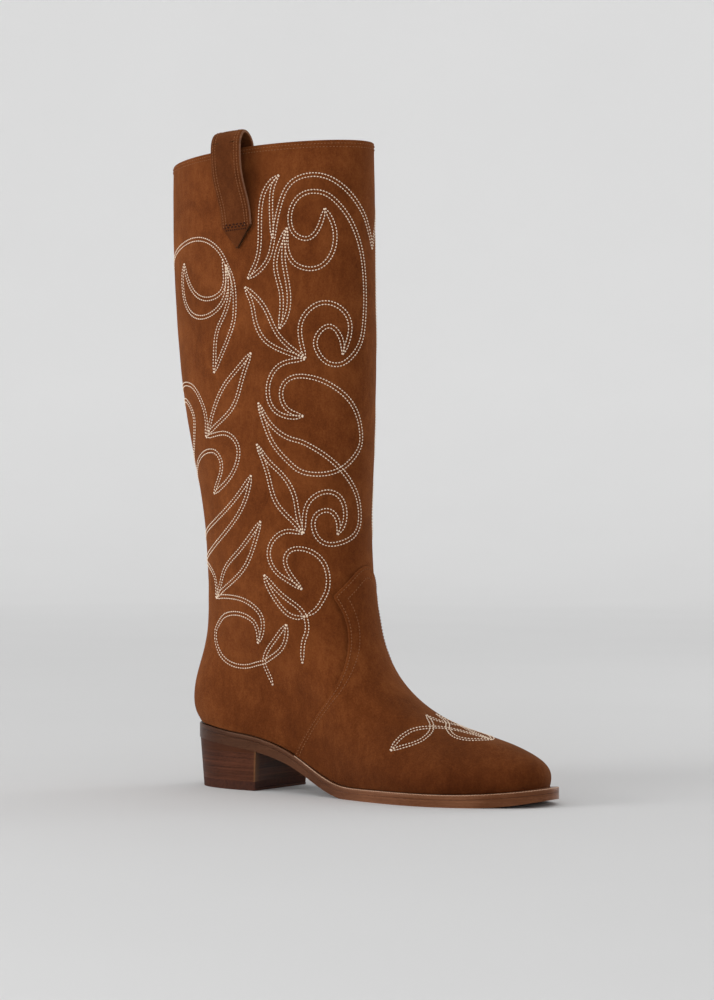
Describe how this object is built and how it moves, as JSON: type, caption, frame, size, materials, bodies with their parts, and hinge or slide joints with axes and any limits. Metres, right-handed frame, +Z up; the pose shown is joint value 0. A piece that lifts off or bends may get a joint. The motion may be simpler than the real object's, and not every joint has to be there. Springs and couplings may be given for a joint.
{
  "type": "cowboy boot",
  "caption": "Knee-high pull-on western boot for the right foot: suede shaft and vamp, scroll embroidery, side pull strap, welted leather sole and low stacked heel.",
  "frame": {"origin": "centre of the heel cap's bottom face, on the floor", "axes": "+X to the toe, +Y to the medial (inner) side of the right foot, +Z up the shaft"},
  "size_m": [0.2965, 0.0974, 0.4352],
  "materials": {
    "suede": "brushed suede nap, tan",
    "lining_leather": "smooth tan lining leather",
    "lining_suede": "suede heel grip",
    "sole_leather": "satin edge-finished leather",
    "stacked_leather": "stacked leather, burnished",
    "rubber": "matte",
    "steel": "brushed",
    "brass": "satin",
    "board": "fibre board",
    "cork": "granulated cork",
    "foam": "latex foam",
    "textile": "woven backing"
  },
  "bodies": {
    "boot": {"closing_seam_tape": "textile", "cork_filler": "cork", "heel_cap": "rubber", "heel_cap_pins": "brass", "heel_counter": "board", "heel_grip": "lining_suede", "heel_lift_1": "stacked_leather", "heel_lift_2": "stacked_leather", "heel_lift_3": "stacked_leather", "heel_lift_4": "stacked_leather", "heel_lift_5": "stacked_leather", "heel_nails": "steel", "heel_pad": "foam", "heel_rand": "sole_leather", "heel_wedge": "stacked_leather", "insole_board": "board", "outsole": "sole_leather", "seat_piece": "sole_leather", "shaft": "suede", "shaft_backer": "textile", "shaft_lining": "lining_leather", "shank": "steel", "shank_rivets": "steel", "sock_lining": "lining_leather", "strap_inner_leg": "suede", "strap_outer_leg": "suede", "toe_puff": "board", "vamp": "suede", "vamp_interlining": "textile", "vamp_lining": "lining_leather", "welt": "sole_leather"},
    "pull_loop": {"strap_loop": "suede"}
  },
  "joints": [
    {"name": "strap_lean", "type": "hinge", "parent": "boot", "child": "pull_loop", "pos_m": [0.02181, -0.044, 0.42458], "axis": [0.998, 0, 0.0628], "range_deg": [-10, 10], "stiffness_Nm_per_rad": 0.05}
  ]
}
